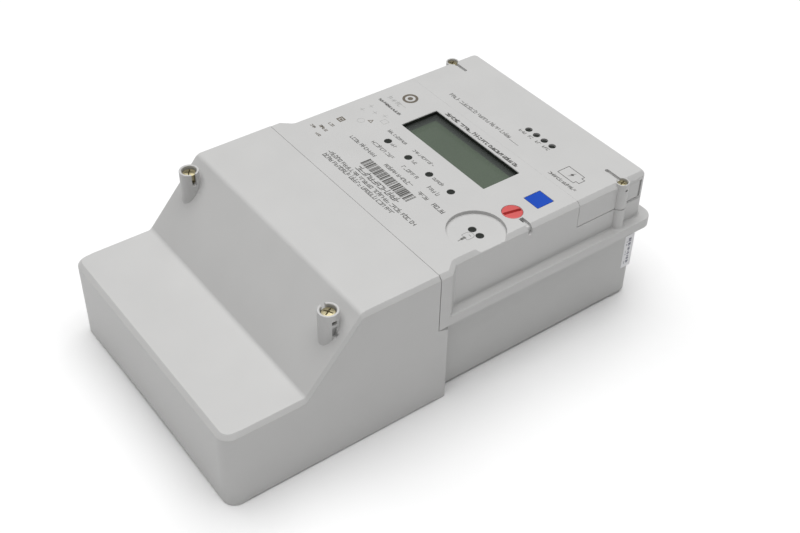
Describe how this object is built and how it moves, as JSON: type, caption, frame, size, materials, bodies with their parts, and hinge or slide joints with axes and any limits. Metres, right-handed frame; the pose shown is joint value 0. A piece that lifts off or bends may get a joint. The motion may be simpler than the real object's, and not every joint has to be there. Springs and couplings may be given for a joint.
{
  "type": "three-phase electricity meter",
  "caption": "Wall-mounted three-phase electricity meter with display, optical port, sealed knob, stepped slide-off terminal cover and a lift-off communication module cover.",
  "frame": {"origin": "middle of the meter's length and width on the rear plane that rests on the wall", "axes": "+X right when reading the face, +Y up towards the hanger, +Z out of the face"},
  "size_m": [0.17, 0.295, 0.093],
  "materials": {
    "housing_light": "fine moulded grain, light warm grey",
    "base_light": "fine moulded grain, light grey",
    "terminal_black": "dark glass-filled moulding",
    "brass": "machined",
    "zinc_yellow": "yellow zinc plated screw",
    "steel": "bright zinc plated",
    "copper": "rolled bar",
    "clear_window": "clear, gloss",
    "lcd_glass": "grey-green reflective display",
    "white_plastic": "satin",
    "blue_plastic": "satin",
    "red_plastic": "satin",
    "dark_plastic": "dark tinted",
    "rubber_black": "soft",
    "board_green": "solder mask over glass laminate",
    "component_black": "moulded packages",
    "green_plastic": "pluggable terminal moulding",
    "core_lamination": "varnished laminations",
    "capacitor_sleeve": "shrink sleeve",
    "battery_sleeve": "shrink sleeve",
    "sticker_paper": "coated label"
  },
  "bodies": {
    "root": {"base_case": "base_light", "case_gasket": "rubber_black", "case_screws": "steel", "barcode_sticker": "sticker_paper", "front_cover": "housing_light", "lcd_window": "clear_window", "lcd_panel": "lcd_glass", "lcd_pins": "steel", "lcd_holder": "white_plastic", "button_switch": "component_black", "reset_switch": "component_black", "optical_magnet_plate": "steel", "ir_window_left": "dark_plastic", "ir_window_right": "dark_plastic", "pulse_lamp_lens_1": "dark_plastic", "pulse_lamp_lens_2": "dark_plastic", "pulse_lamp_lens_3": "dark_plastic", "pulse_lamp_lens_4": "dark_plastic", "terminal_block": "terminal_black", "terminal_clamps": "brass", "terminal_screws": "steel", "aux_terminal_block": "green_plastic", "aux_terminal_screws": "steel", "phase_link_1": "copper", "phase_link_2": "copper", "phase_link_3": "copper", "phase_link_4": "copper", "phase_link_5": "copper", "phase_link_6": "copper", "neutral_link": "copper", "current_transformer_1": "capacitor_sleeve", "current_transformer_2": "capacitor_sleeve", "current_transformer_3": "capacitor_sleeve", "load_relay_1": "component_black", "load_relay_2": "component_black", "load_relay_3": "component_black", "main_board": "board_green", "board_components": "component_black", "board_screws": "steel", "power_transformer": "core_lamination", "supercapacitor": "capacitor_sleeve", "comm_connector": "component_black", "comm_module": "white_plastic", "battery": "battery_sleeve", "battery_holder": "white_plastic"},
    "terminal_cover": {"terminal_cover": "housing_light", "cover_screw_nuts": "brass"},
    "terminal_cover_screw_left": {"terminal_cover_screw_left": "zinc_yellow"},
    "terminal_cover_screw_right": {"terminal_cover_screw_right": "zinc_yellow"},
    "module_cover": {"module_cover": "housing_light", "side_blanking_plate": "housing_light", "comm_light_guide": "dark_plastic"},
    "module_cover_screw_left": {"module_cover_screw_left": "zinc_yellow"},
    "module_cover_screw_right": {"module_cover_screw_right": "zinc_yellow"},
    "display_button": {"display_button": "blue_plastic", "button_plunger": "component_black"},
    "reset_knob": {"reset_knob": "red_plastic", "knob_clip": "steel"},
    "terminal_cover_plunger": {"terminal_cover_plunger": "white_plastic"},
    "hanger_bracket": {"hanger_bracket": "steel"}
  },
  "joints": [
    {"name": "terminal_cover_slide", "type": "slide", "parent": "root", "child": "terminal_cover", "axis": [0, -1, 0], "range_m": [0, 0.11]},
    {"name": "terminal_cover_screw_left_turn", "type": "hinge", "parent": "terminal_cover", "child": "terminal_cover_screw_left", "pos_m": [-0.0715, -0.0755, 0.088], "axis": [0, 0, 1], "continuous": true},
    {"name": "terminal_cover_screw_right_turn", "type": "hinge", "parent": "terminal_cover", "child": "terminal_cover_screw_right", "pos_m": [0.0715, -0.0755, 0.088], "axis": [0, 0, 1], "continuous": true},
    {"name": "module_cover_lift", "type": "slide", "parent": "root", "child": "module_cover", "axis": [0, 0, 1], "range_m": [0, 0.06]},
    {"name": "module_cover_screw_left_turn", "type": "hinge", "parent": "module_cover", "child": "module_cover_screw_left", "pos_m": [-0.0786, 0.1215, 0.091], "axis": [0, 0, 1], "continuous": true},
    {"name": "module_cover_screw_right_turn", "type": "hinge", "parent": "module_cover", "child": "module_cover_screw_right", "pos_m": [0.0786, 0.1215, 0.091], "axis": [0, 0, 1], "continuous": true},
    {"name": "display_button_press", "type": "slide", "parent": "root", "child": "display_button", "axis": [0, 0, -1], "range_m": [0, 0.0012], "stiffness_N_per_m": 1500, "springref_m": -0.0006},
    {"name": "reset_knob_turn", "type": "hinge", "parent": "root", "child": "reset_knob", "pos_m": [0.0637, 0.0517, 0.09], "axis": [0, 0, -1], "range_deg": [0, 90]},
    {"name": "terminal_cover_plunger_slide", "type": "slide", "parent": "root", "child": "terminal_cover_plunger", "axis": [0, -1, 0], "range_m": [0, 0.002]},
    {"name": "hanger_bracket_slide", "type": "slide", "parent": "root", "child": "hanger_bracket", "axis": [0, 1, 0], "range_m": [0, 0.022]}
  ],
  "couplings": [
    {"joint": "terminal_cover_plunger_slide", "follows": "terminal_cover_slide", "ratio": 0.018}
  ]
}
